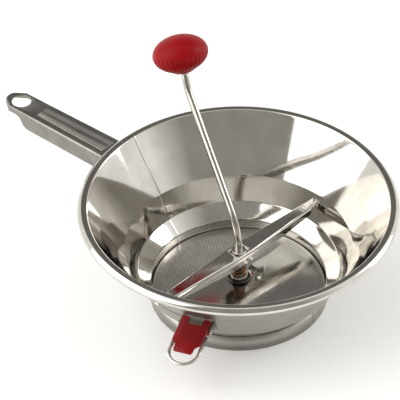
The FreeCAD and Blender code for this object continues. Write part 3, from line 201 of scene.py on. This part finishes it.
class Shader:
    """A material with a principled shader, and short calls for the nodes that feed it."""

    def __init__(self, name, **values):
        self.material = bpy.data.materials.new(name)
        self.material.use_nodes = True
        self.tree = self.material.node_tree
        self.surface = self.tree.nodes["Principled BSDF"]
        self.coordinates = self.tree.nodes.new("ShaderNodeTexCoord").outputs["Object"]
        for key, value in values.items():
            self.surface.inputs[key.replace("_", " ")].default_value = value

    def node(self, kind, **values):
        made = self.tree.nodes.new(kind)
        for key, value in values.items():
            setattr(made, key, value)
        return made

    def link(self, source, target):
        self.tree.links.new(source, target)

    def stretched(self, scale):
        """The object's coordinates, scaled along each axis."""
        mapping = self.node("ShaderNodeMapping")
        mapping.inputs["Scale"].default_value = scale
        self.link(self.coordinates, mapping.inputs["Vector"])
        return mapping.outputs["Vector"]

    def polar(self, around, across, up):
        """Coordinates that follow a turned part: angle, radius and height, each scaled."""
        apart = self.node("ShaderNodeSeparateXYZ")
        self.link(self.coordinates, apart.inputs[0])
        angle = self.node("ShaderNodeMath", operation="ARCTAN2")
        self.link(apart.outputs["Y"], angle.inputs[0])
        self.link(apart.outputs["X"], angle.inputs[1])
        flat = self.node("ShaderNodeVectorMath", operation="MULTIPLY")
        self.link(self.coordinates, flat.inputs[0])
        flat.inputs[1].default_value = (1, 1, 0)
        radius = self.node("ShaderNodeVectorMath", operation="LENGTH")
        self.link(flat.outputs[0], radius.inputs[0])
        together = self.node("ShaderNodeCombineXYZ")
        for index, (source, factor) in enumerate((
            (angle.outputs[0], around), (radius.outputs["Value"], across), (apart.outputs["Z"], up),
        )):
            scaled = self.node("ShaderNodeMath", operation="MULTIPLY")
            self.link(source, scaled.inputs[0])
            scaled.inputs[1].default_value = factor
            self.link(scaled.outputs[0], together.inputs[index])
        return together.outputs[0]

    def noise(self, vector, scale, detail=4.0, rough=0.6):
        texture = self.node("ShaderNodeTexNoise")
        texture.inputs["Scale"].default_value = scale
        texture.inputs["Detail"].default_value = detail
        texture.inputs["Roughness"].default_value = rough
        self.link(vector, texture.inputs["Vector"])
        return texture.outputs["Fac"]

    def span(self, source, low, high, start=0.3, end=0.7):
        """A number that goes from low to high as the source goes from start to end."""
        remap = self.node("ShaderNodeMapRange")
        for key, value in (("From Min", start), ("From Max", end), ("To Min", low), ("To Max", high)):
            remap.inputs[key].default_value = value
        self.link(source, remap.inputs["Value"])
        return remap.outputs["Result"]

    def ramp(self, source, stops):
        """A colour along a row of (place, colour) stops."""
        ramp = self.node("ShaderNodeValToRGB")
        elements = ramp.color_ramp.elements
        while len(elements) < len(stops):
            elements.new(0.5)
        for element, (place, colour) in zip(elements, stops):
            element.position = place
            element.color = (*colour, 1)
        self.link(source, ramp.inputs["Fac"])
        return ramp.outputs["Color"]

    def tone(self, source, dark, light):
        self.link(self.ramp(source, ((0.3, dark), (0.7, light))), self.surface.inputs["Base Color"])

    def rough(self, source, low, high):
        self.link(self.span(source, low, high), self.surface.inputs["Roughness"])

    def roughen_and_shade_outside(self, extra):
        """Roughens a turned part's face that looks away from the axis, under the lip, and darkens its
        colour there as painted shade.
        """
        where = self.node("ShaderNodeTexCoord")
        facing = self.node("ShaderNodeVectorMath", operation="DOT_PRODUCT")
        self.link(where.outputs["Normal"], facing.inputs[0])
        self.link(where.outputs["Object"], facing.inputs[1])
        outer = self.span(facing.outputs["Value"], 0.0, 1.0, -0.001, 0.004)
        apart = self.node("ShaderNodeSeparateXYZ")
        self.link(where.outputs["Object"], apart.inputs[0])
        under = self.span(apart.outputs["Z"], 1.0, 0.0, RIM_HEIGHT - 0.004, RIM_HEIGHT - 0.002)
        both = self.node("ShaderNodeMath", operation="MULTIPLY")
        self.link(outer, both.inputs[0])
        self.link(under, both.inputs[1])
        total = self.node("ShaderNodeMath", operation="MULTIPLY_ADD")
        self.link(both.outputs[0], total.inputs[0])
        total.inputs[1].default_value = extra
        self.link(self.surface.inputs["Roughness"].links[0].from_socket, total.inputs[2])
        self.link(total.outputs[0], self.surface.inputs["Roughness"])
        # Painted shade: the outer face under the lip is multiplied by a grey of 0.62.
        painted_shade_mix = self.node("ShaderNodeMix", data_type="RGBA", blend_type="MULTIPLY")
        self.link(both.outputs[0], painted_shade_mix.inputs[0])
        self.link(self.surface.inputs["Base Color"].links[0].from_socket, painted_shade_mix.inputs[6])
        painted_shade_mix.inputs[7].default_value = (0.62, 0.61, 0.60, 1)
        self.link(painted_shade_mix.outputs[2], self.surface.inputs["Base Color"])

    def bump(self, layers):
        """Bumps on top of each other: (height source, depth in metres, strength)."""
        normal = None
        for source, depth, strength in layers:
            bump = self.node("ShaderNodeBump")
            bump.inputs["Strength"].default_value = strength
            bump.inputs["Distance"].default_value = depth
            self.link(source, bump.inputs["Height"])
            if normal:
                self.link(normal, bump.inputs["Normal"])
            normal = bump.outputs["Normal"]
        self.link(normal, self.surface.inputs["Normal"])
        return self.material


def turned_steel(name, dark, light, low, high, wave, outside=0.0):
    """Sheet steel polished round the axis, with faint waves. outside roughens the outer face and paints
    shade on it.
    """
    shader = Shader(name, Metallic=1.0)
    brushing = shader.noise(shader.polar(3.0, 2600.0, 2600.0), 1.0, 3.0)
    cloud = shader.noise(shader.coordinates, 38.0, 3.0)
    waves = shader.noise(shader.polar(2.2, 30.0, 22.0), 1.0, 1.0, 0.4)
    shader.tone(cloud, dark, light)
    shader.rough(brushing, low, high)
    if outside:
        shader.roughen_and_shade_outside(outside)
    return shader.bump(((waves, wave, 0.5), (brushing, 2e-6, 0.35)))


def brushed_steel(name, dark, light, low, high, grain=(60.0, 2500.0, 2500.0)):
    """Sheet or bar steel with a fine straight grain."""
    shader = Shader(name, Metallic=1.0)
    grain_source = shader.noise(shader.stretched(grain), 1.0, 3.0)
    cloud = shader.noise(shader.coordinates, 70.0, 3.0)
    shader.tone(cloud, dark, light)
    shader.rough(grain_source, low, high)
    return shader.bump(((cloud, 3e-5, 0.2), (grain_source, 3e-6, 0.4)))


def bright_steel(name):
    """Plated steel with small scratches."""
    shader = Shader(name, Metallic=1.0)
    scratches = shader.noise(shader.stretched((900.0, 900.0, 120.0)), 1.0, 5.0)
    shader.tone(scratches, (0.60, 0.58, 0.54), (0.80, 0.78, 0.74))
    shader.rough(scratches, 0.08, 0.22)
    return shader.bump(((scratches, 4e-6, 0.4),))


def spring_bronze():
    """Dark oiled wire with a copper sheen."""
    shader = Shader("spring_wire", Metallic=1.0)
    stain = shader.noise(shader.coordinates, 420.0, 5.0)
    shader.tone(stain, (0.09, 0.045, 0.025), (0.36, 0.20, 0.12))
    shader.rough(stain, 0.2, 0.42)
    return shader.bump(((stain, 1.5e-5, 0.5),))


def dark_steel():
    """Near-black steel for the thrust washers and blade hub; on the hub the near-black is painted shade of
    its shadowed underside.
    """
    shader = Shader("black_steel", Metallic=0.9)
    stain = shader.noise(shader.coordinates, 300.0, 5.0)
    shader.tone(stain, (0.025, 0.022, 0.02), (0.11, 0.10, 0.09))
    shader.rough(stain, 0.22, 0.4)
    return shader.bump(((stain, 2e-5, 0.4),))


def red_plastic():
    """Moulded plastic with a faint texture and flow marks."""
    shader = Shader("red_knob", Specular_IOR_Level=0.12)
    flow = shader.noise(shader.stretched((60.0, 60.0, 160.0)), 1.0, 3.0)
    grain = shader.noise(shader.coordinates, 2600.0, 2.0)
    shader.tone(flow, (0.24, 0.001, 0.004), (0.32, 0.002, 0.006))
    shader.rough(flow, 0.36, 0.5)
    return shader.bump(((flow, 8e-5, 0.3), (grain, 1e-5, 0.35)))


def red_paint():
    """Glossy paint on sheet steel, with a slight orange peel."""
    shader = Shader("red_paint", Coat_Weight=0.25, Coat_Roughness=0.15, Specular_IOR_Level=0.25)
    peel = shader.noise(shader.coordinates, 900.0, 2.0)
    cloud = shader.noise(shader.coordinates, 90.0, 3.0)
    shader.tone(cloud, (0.20, 0.001, 0.003), (0.30, 0.002, 0.006))
    shader.rough(cloud, 0.28, 0.4)
    return shader.bump(((peel, 2e-5, 0.3),))


def paint(material, *pieces):
    """Gives each piece, an object or a CAD node's name, one material."""
    for piece in pieces:
        thing = NODES[piece] if isinstance(piece, str) else piece
        thing.data.materials.clear()
        thing.data.materials.append(material)
        thing.data.polygons.foreach_set("material_index", [0] * len(thing.data.polygons))


# ---------------------------------------------------------------- the bowl

SHEET = 0.8 * MM
RING_SHEET = 0.9 * MM
SPIGOT = RING_RADIUS - RING_SHEET - SHEET
LEDGE_HEIGHT = BOWL_LOW.z + SHEET
LEDGE_WIDTH = 4.2 * MM
SPIGOT_TOP = 15.0 * MM
SHOULDER = (76.2 * MM, 25.0 * MM)
CREASE = (85.5 * MM, 44.0 * MM)
LIP_WIDTH = 6.2 * MM
LIP_FLAT = 4.5 * MM
LIP_CURL = 2.8 * MM
CURL_RETURN = 3.4 * MM
SEAM_ANGLE = math.radians(174.4)
SEAM_WIDTH = 0.9 * MM
SEAM_HEIGHT = 0.16 * MM


def bowl_section():
    """The sheet's closed section: its inside line, rounded, and the parallel one sheet away."""
    cone_top = RIM_RADIUS - LIP_WIDTH - SHEET
    ridge = RIM_HEIGHT + LIP_RISE
    curl = RIM_HEIGHT - LIP_CURL
    corners = [
        (SPIGOT - LEDGE_WIDTH, LEDGE_HEIGHT),
        (SPIGOT, LEDGE_HEIGHT),
        (SPIGOT, SPIGOT_TOP),
        SHOULDER,
        CREASE,
        (cone_top, ridge),
        (cone_top + LIP_FLAT, ridge),
        (RIM_RADIUS, ridge - LIP_WIDTH - SHEET + LIP_FLAT),
        (RIM_RADIUS, curl),
        (RIM_RADIUS - CURL_RETURN, curl),
    ]
    radii = [radius * MM for radius in (0.25, 1.8, 3.0, 6.0, 1.2, 2.8, 2.8, 1.2)]
    inside = refined(rounded(corners, radii), 1.5 * MM)
    return inside + list(reversed(side_of(inside, SHEET)))


def seam_bead(radius, height, angle):
    """Raises the sheet a little along the weld seam."""
    off = abs(math.remainder(angle - SEAM_ANGLE, 2 * math.pi)) * radius
    if off < SEAM_WIDTH and height > LEDGE_HEIGHT + SHEET:
        radius -= SEAM_HEIGHT * math.cos(off / SEAM_WIDTH * math.pi / 2)
    return radius, height


def turn_about_axis(degrees):
    """A placement turned about the bowl's axis."""
    return Matrix.Rotation(math.radians(degrees), 4, "Z")


BAR_ANGLE = 84.4
LATCH_ANGLE = 289.6
SLOT_INNER = 0.076
SLOT_OUTER = 0.095
JAW_SLOT_INNER = 0.078
JAW_SLOT_OUTER = 0.098
NEAR_SLOT_STEPS = 6
NEAR_SLOT_STEP = 2.8


def make_bowl():
    """The bowl, with the slots for the crossbar's tongues and the latch's jaw."""
    fine = [SEAM_ANGLE + step * SEAM_WIDTH / RIM_RADIUS / 3 for step in range(-6, 7)]
    angles = sorted(even_angles(400) + [angle % (2 * math.pi) for angle in fine])
    bowl = lathe("bowl_sheet", bowl_section(), angles, seam_bead)
    bar_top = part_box("crossbar")[1].z
    jaw_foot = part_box("latch_jaw")[0].z
    slot_low = bar_top - 1.6 * MM
    slot_high = bar_top + 0.4 * MM
    tongue = 3.9 * MM
    low = (SLOT_INNER, -tongue, slot_low)
    high = (SLOT_OUTER, tongue, slot_high)
    cutters = [box_mesh("far_slot", low, high, turn_about_axis(BAR_ANGLE))]
    for step in range(NEAR_SLOT_STEPS):
        turn = turn_about_axis(BAR_ANGLE + 180 + step * NEAR_SLOT_STEP)
        cutters.append(box_mesh("near_slot", low, high, turn))
    mouth = 6.6 * MM
    low = (JAW_SLOT_INNER, -mouth, jaw_foot - 0.6 * MM)
    high = (JAW_SLOT_OUTER, mouth, jaw_foot + 5.7 * MM)
    cutters.append(box_mesh("jaw_slot", low, high, turn_about_axis(LATCH_ANGLE)))
    cut(bowl, cutters)
    smooth(bowl, 28)
    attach(bowl, "mill")
    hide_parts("bowl")
    return bowl


# ---------------------------------------------------------------- the grate

GRATE_SHEET = 0.8 * MM
HOLE_PITCH = 2.75 * MM
HOLE_RADIUS = 0.72 * MM
HOLE_SIDES = 12
FIELD_RADIUS = 57.0 * MM
PILOT_RADIUS = 3.2 * MM
PILOT_LAND = 7.0 * MM


def hole_centres():
    """Centres of the grate's holes on a triangular pattern."""
    row_step = HOLE_PITCH * math.sqrt(3) / 2
    rows = int(FIELD_RADIUS / row_step) + 1
    columns = int(FIELD_RADIUS / HOLE_PITCH) + 1
    for row in range(-rows, rows + 1):
        shift = HOLE_PITCH / 2 * (row % 2)
        for column in range(-columns, columns + 1):
            centre = Vector((column * HOLE_PITCH + shift, row * row_step))
            if PILOT_LAND < centre.length < FIELD_RADIUS:
                yield centre


def plate_with_holes(radius):
    """The grate's flat top as one bmesh: hexagonal cells with round holes, and plain metal round them."""
    work = bmesh.new()
    spokes = [2 * math.pi * step / HOLE_SIDES for step in range(HOLE_SIDES)]
    reach = HOLE_PITCH / 2
    for centre in hole_centres():
        ring = []
        for spoke in spokes:
            nearest = math.remainder(spoke, math.pi / 3)
            edge = reach / math.cos(nearest)
            direction = Vector((math.cos(spoke), math.sin(spoke)))
            inside = centre + direction * HOLE_RADIUS
            outside = centre + direction * edge
            ring.append((work.verts.new((*inside, 0)), work.verts.new((*outside, 0))))
        for index in range(HOLE_SIDES):
            here, there = ring[index], ring[(index + 1) % HOLE_SIDES]
            work.faces.new((here[0], here[1], there[1], there[0]))
    bmesh.ops.remove_doubles(work, verts=work.verts, dist=0.02 * MM)
    outline = [edge for edge in work.edges if edge.is_boundary and not near_hole(edge)]
    for circle_radius, count in ((radius, 200), (PILOT_RADIUS, 40)):
        corners = [
            work.verts.new((circle_radius * math.cos(angle), circle_radius * math.sin(angle), 0))
            for angle in even_angles(count)
        ]
        outline += [work.edges.new((corners[i], corners[(i + 1) % count])) for i in range(count)]
    bmesh.ops.triangle_fill(work, edges=outline, use_beauty=True)
    return work


def near_hole(edge):
    """Whether a boundary edge belongs to a hole's rim: those are short chords of its circle."""
    chord = 2 * HOLE_RADIUS * math.sin(math.pi / HOLE_SIDES)
    return abs((edge.verts[0].co - edge.verts[1].co).length - chord) < 0.01 * MM


def make_grate():
    """The perforated disc: a plate with real holes and its turned-down rim."""
    top = GRATE_HIGH.z
    outer = GRATE_HIGH.x
    bend = 1.4 * MM
    work = plate_with_holes(outer - bend)
    grown = bmesh.ops.extrude_face_region(work, geom=list(work.faces))
    moved = [item for item in grown["geom"] if isinstance(item, bmesh.types.BMVert)]
    bmesh.ops.translate(work, verts=moved, vec=(0, 0, -GRATE_SHEET))
    bmesh.ops.recalc_face_normals(work, faces=work.faces)
    mesh = bpy.data.meshes.new("grate_plate")
    work.to_mesh(mesh)
    work.free()
    plate = bpy.data.objects.new("grate_plate", mesh)
    bpy.context.scene.collection.objects.link(plate)
    mesh.transform(Matrix.Translation((0, 0, top)))
    smooth(plate, 30)
    line = rounded([(outer - bend, top), (outer, top), (outer, GRATE_LOW.z)], [bend - 1e-6])
    section = line + list(reversed(side_of(line, GRATE_SHEET)))
    rim = smooth(lathe("grate_rim", section, even_angles(200)), 30)
    for piece in (plate, rim):
        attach(piece, "mill")
    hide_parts("grate")
    return [plate, rim]


# ---------------------------------------------------------------- the blade

BLADE_SHEET = 1.0 * MM
BLADE_GAP = 4.9 * MM
BLADE_LIFT = 0.9 * MM
BLADE_CONE = 3.6 * MM
BLADE_RAMP = 1.2 * MM
FLAP_SLOPE = 0.32
FLAP_START = 385.0
FLAP_BLEND = 20.0
FOLD_POINT = (13.5 * MM, 11.3 * MM)
FOLD_ANGLE = 119.0
EDGE_ANGLE = 174.4
EDGE_OFFSET = 26.5 * MM
BLADE_END = 452.0


def blade_rise(radius, degrees, outer, hub_radius):
    """Height of the blade's lower face above the grate: a cone up to the hub, and the folded flap."""
    along = max(0.0, outer - radius) / (outer - hub_radius)
    fold = math.radians(FOLD_ANGLE)
    x = radius * math.cos(math.radians(degrees)) - FOLD_POINT[0]
    y = radius * math.sin(math.radians(degrees)) - FOLD_POINT[1]
    past_fold = max(0.0, y * math.cos(fold) - x * math.sin(fold))
    into_flap = min(1.0, max(0.0, (degrees - FLAP_START) / FLAP_BLEND))
    off_hub = min(1.0, max(0.0, radius / hub_radius - 1.3))
    flap = FLAP_SLOPE * past_fold * into_flap * off_hub
    ramp = BLADE_RAMP * (degrees - EDGE_ANGLE) / 360
    return BLADE_LIFT + BLADE_CONE * along ** 1.2 + flap + ramp * (1 - along)


def make_blade():
    """The plate as a fine sheet: a straight edge, a rise to the hub and a folded flap."""
    hub_low, hub_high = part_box("blade_hub")
    hub_radius = (hub_high.x - hub_low.x) / 2
    outer = SPIGOT - BLADE_GAP
    inner = hub_radius * 0.92
    spans, rings = 220, 44
    vertices = []
    for thickness in (0.0, BLADE_SHEET):
        for ring in range(rings + 1):
            radius = inner + (outer - inner) * ring / rings
            start = EDGE_ANGLE + math.degrees(math.acos(min(1.0, EDGE_OFFSET / radius)))
            for span in range(spans + 1):
                degrees = start + (BLADE_END - start) * span / spans
                height = GRATE_HIGH.z + blade_rise(radius, degrees, outer, hub_radius) + thickness
                angle = math.radians(degrees)
                vertices.append((radius * math.cos(angle), radius * math.sin(angle), height))
    row = spans + 1
    layer = row * (rings + 1)
    faces = []
    for ring in range(rings):
        for span in range(spans):
            corner = ring * row + span
            faces.append((corner, corner + row, corner + row + 1, corner + 1))
            corner += layer
            faces.append((corner, corner + 1, corner + row + 1, corner + row))
    edge = [ring * row for ring in range(rings + 1)]
    edge += [rings * row + span for span in range(1, spans + 1)]
    edge += [ring * row + spans for ring in range(rings - 1, -1, -1)]
    edge += [span for span in range(spans - 1, 0, -1)]
    for here, there in zip(edge, edge[1:] + edge[:1]):
        faces.append((here, here + layer, there + layer, there))
    blade = smooth(outward(add_object("blade_sheet", vertices, faces)), 40)
    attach(blade, "blade")
    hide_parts("blade")
    return blade


# ---------------------------------------------------------------- the knob

def make_knob():
    """The red knob: a flattened ball with a flat foot, ribbed on its lower half."""
    joint = HINGES["knob_spin"]
    axis = Vector(joint["axis"])
    middle = Vector(joint["pos_m"])
    half = 14.3 * MM
    radius = 21.3 * MM
    bore = 3.96 * MM
    arc = [math.radians(-60 + 3 * step) for step in range(50)]
    line = [Vector((bore, -14.4 * MM)), Vector((7.0 * MM, -14.4 * MM))]
    line += [Vector((radius * math.cos(a), half * math.sin(a))) for a in arc]
    line += [Vector((0.05 * MM, half)), Vector((0.05 * MM, 2.8 * MM)), Vector((bore, 2.8 * MM))]

    def ribs(r, z, angle):
        skirt = min(max((r - 9.0 * MM) / (3.0 * MM), 0), max((0.5 * MM - z) / (1.5 * MM), 0), 1)
        return r - 0.4 * MM * skirt * (0.5 - 0.5 * math.cos(32 * angle)) ** 2, z

    knob = lathe("knob_cap", refined(line, 0.8 * MM), even_angles(384), ribs)
    tilt = Vector((0, 0, 1)).rotation_difference(axis).to_matrix().to_4x4()
    knob.data.transform(Matrix.Translation(middle) @ tilt)
    smooth(knob, 50)
    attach(knob, "knob")
    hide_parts("knob")
    return knob


# ---------------------------------------------------------------- what the CAD model gives

def finish_node(name, bevel=0.0):
    """Smooth shading, and a small worn radius on sharp edges, on a CAD node."""
    piece = NODES[name]
    piece.data.polygons.foreach_set("use_smooth", [True] * len(piece.data.polygons))
    weld = piece.modifiers.new("weld", "WELD")
    weld.merge_threshold = 1e-6
    if bevel:
        edges = piece.modifiers.new("edges", "BEVEL")
        edges.width = bevel
        edges.segments = 2
        edges.limit_method = "ANGLE"
        edges.angle_limit = math.radians(40)
        edges.use_clamp_overlap = True
        edges.harden_normals = True
    else:
        piece.data.set_sharp_from_angle(angle=math.radians(35))


# ---------------------------------------------------------------- the studio

def add_camera():
    """A long lens from the front right, turned down to the bowl."""
    right = Vector((math.cos(VIEW_AZIMUTH), math.sin(VIEW_AZIMUTH), 0))
    back = Vector((
        math.sin(VIEW_AZIMUTH) * math.cos(VIEW_ELEVATION),
        -math.cos(VIEW_AZIMUTH) * math.cos(VIEW_ELEVATION),
        math.sin(VIEW_ELEVATION),
    ))
    up = back.cross(right)
    target = Vector((0, 0, RIM_HEIGHT)) - right * 28.5 * MM + up * 5.1 * MM
    data = bpy.data.cameras.new("camera")
    data.lens = VIEW_LENS
    data.sensor_width = 36.0
    data.clip_end = 20.0
    camera = bpy.data.objects.new("camera", data)
    bpy.context.scene.collection.objects.link(camera)
    turn = Matrix((right, up, back)).transposed().to_4x4()
    place = Matrix.Translation(target + back * VIEW_DISTANCE)
    camera.matrix_world = place @ turn @ Matrix.Rotation(VIEW_ROLL, 4, "Z")
    bpy.context.scene.camera = camera
    return right, back


def add_softbox(name, direction, distance, width, height, power):
    """A soft area light that looks at the bowl."""
    data = bpy.data.lights.new(name, "AREA")
    data.shape = "RECTANGLE"
    data.size = width
    data.size_y = height
    data.energy = power
    light = bpy.data.objects.new(name, data)
    bpy.context.scene.collection.objects.link(light)
    place = Vector(direction).normalized() * distance
    light.location = place
    light.rotation_euler = place.to_track_quat("Z", "Y").to_euler()
    return light


FLOOR_REACH = 6


def add_studio(right, back):
    """White walls, dim behind the camera and opposite it, a pale floor and two soft boxes."""
    world = bpy.data.worlds.new("studio")
    bpy.context.scene.world = world
    world.use_nodes = True
    tree = world.node_tree
    background = tree.nodes["Background"]
    coordinates = tree.nodes.new("ShaderNodeTexCoord")
    facing = tree.nodes.new("ShaderNodeVectorMath")
    facing.operation = "DOT_PRODUCT"
    level = Vector((back.x, back.y, 0.45)).normalized()
    facing.inputs[1].default_value = level
    ramp = tree.nodes.new("ShaderNodeValToRGB")
    elements = ramp.color_ramp.elements
    elements[0].position = 0.45
    elements[0].color = (1.0, 0.99, 0.97, 1)
    elements[1].position = 0.80
    elements[1].color = (0.36, 0.345, 0.32, 1)
    tree.links.new(coordinates.outputs["Generated"], facing.inputs[0])
    tree.links.new(facing.outputs["Value"], ramp.inputs["Fac"])
    behind = tree.nodes.new("ShaderNodeVectorMath")
    behind.operation = "DOT_PRODUCT"
    behind.inputs[1].default_value = (-back.x, -back.y, back.z)
    patch = tree.nodes.new("ShaderNodeMapRange")
    patch.inputs["From Min"].default_value = 0.88
    patch.inputs["From Max"].default_value = 0.96
    shade = tree.nodes.new("ShaderNodeMix")
    shade.data_type = "RGBA"
    shade.inputs[7].default_value = (0.17, 0.165, 0.155, 1)
    tree.links.new(coordinates.outputs["Generated"], behind.inputs[0])
    tree.links.new(behind.outputs["Value"], patch.inputs["Value"])
    tree.links.new(patch.outputs["Result"], shade.inputs[0])
    tree.links.new(ramp.outputs["Color"], shade.inputs[6])
    tree.links.new(shade.outputs[2], background.inputs["Color"])
    background.inputs["Strength"].default_value = 1.0
    add_softbox("left_box", -right * 1.2 + back * 0.3 + Vector((0, 0, 0.7)), 1.3, 1.5, 1.5, 14.0)
    add_softbox("right_box", right * 1.1 - back * 0.4 + Vector((0, 0, 0.9)), 1.5, 0.6, 0.8, 7.0)
    corners = [(x * FLOOR_REACH, y * FLOOR_REACH, 0) for x, y in ((-1, -1), (1, -1), (1, 1), (-1, 1))]
    floor = add_object("floor", corners, [(0, 1, 2, 3)])
    shader = Shader("floor_paper")
    grain = shader.noise(shader.coordinates, 300.0, 3.0)
    shader.tone(grain, (0.90, 0.90, 0.89), (0.92, 0.92, 0.91))
    shader.rough(grain, 0.75, 0.85)
    shader.surface.inputs["Emission Color"].default_value = (1, 1, 1, 1)
    shader.surface.inputs["Emission Strength"].default_value = 0.14
    paint(shader.bump(((grain, 2e-5, 0.1),)), floor)


# ---------------------------------------------------------------- assembly

bowl = make_bowl()
grate_pieces = make_grate()
blade = make_blade()
knob = make_knob()

# The last value roughens the bowl's outer face under the lip and paints shade there.
bowl_steel = turned_steel(
    "bowl_steel_look", (0.60, 0.575, 0.53), (0.72, 0.70, 0.66), 0.04, 0.10, 1.6e-4, 0.34,
)
ring_steel = turned_steel("ring_steel_look", (0.36, 0.345, 0.315), (0.44, 0.425, 0.395), 0.36, 0.46, 4e-5)
rod_steel = brushed_steel(
    "rod_steel_look", (0.40, 0.38, 0.34), (0.52, 0.50, 0.46), 0.12, 0.24, (2500.0, 2500.0, 60.0),
)
handle_steel = brushed_steel("handle_steel_look", (0.24, 0.228, 0.205), (0.32, 0.305, 0.28), 0.28, 0.4)
bar_steel = brushed_steel(
    "bar_steel_look", (0.56, 0.54, 0.50), (0.70, 0.68, 0.64), 0.10, 0.2, (200.0, 200.0, 2500.0),
)
blade_steel = turned_steel("blade_steel_look", (0.60, 0.58, 0.54), (0.72, 0.70, 0.66), 0.08, 0.18, 1.2e-4)
grate_steel = brushed_steel("grate_steel_look", (0.40, 0.385, 0.36), (0.52, 0.50, 0.47), 0.25, 0.38)
bright = bright_steel("bright_steel_look")
black = dark_steel()
paint(bowl_steel, bowl)
paint(ring_steel, "base_ring")
paint(grate_steel, *grate_pieces)
paint(blade_steel, blade)
paint(handle_steel, "handle", "handle_saddle", "bar_anchor", "latch_bracket", "latch_jaw")
paint(bar_steel, "crossbar", "bracket_rivets", "latch_pin", "latch_spring")
paint(rod_steel, "crank_rod")
paint(bright, "bar_bushing", "upper_washer", "spring_collar", "drive_pin")
paint(bright, "knob_sleeve", "knob_stop", "latch_loop")
# The blade hub's near-black is painted shade for the shadow under the hub.
paint(black, "thrust_washers", "blade_hub")
paint(spring_bronze(), "spring")
paint(red_plastic(), knob)
paint(red_paint(), "latch_lever")
for name, bevel in (
    ("base_ring", 0.0), ("handle", 0.25), ("handle_saddle", 0.15),
    ("bar_anchor", 0.15), ("latch_bracket", 0.15),
    ("crossbar", 0.0), ("crank_rod", 0.0), ("spring", 0.0), ("latch_loop", 0.0), ("latch_lever", 0.2),
    ("bar_bushing", 0.1), ("spring_collar", 0.15), ("thrust_washers", 0.15), ("upper_washer", 0.1),
    ("blade_hub", 0.15), ("latch_jaw", 0.15), ("latch_pin", 0.15), ("bracket_rivets", 0.0),
    ("knob_stop", 0.15), ("knob_sleeve", 0.0), ("drive_pin", 0.0), ("latch_spring", 0.0),
):
    finish_node(name, bevel * MM)

add_studio(*add_camera())
bpy.context.scene.view_settings.view_transform = "Standard"
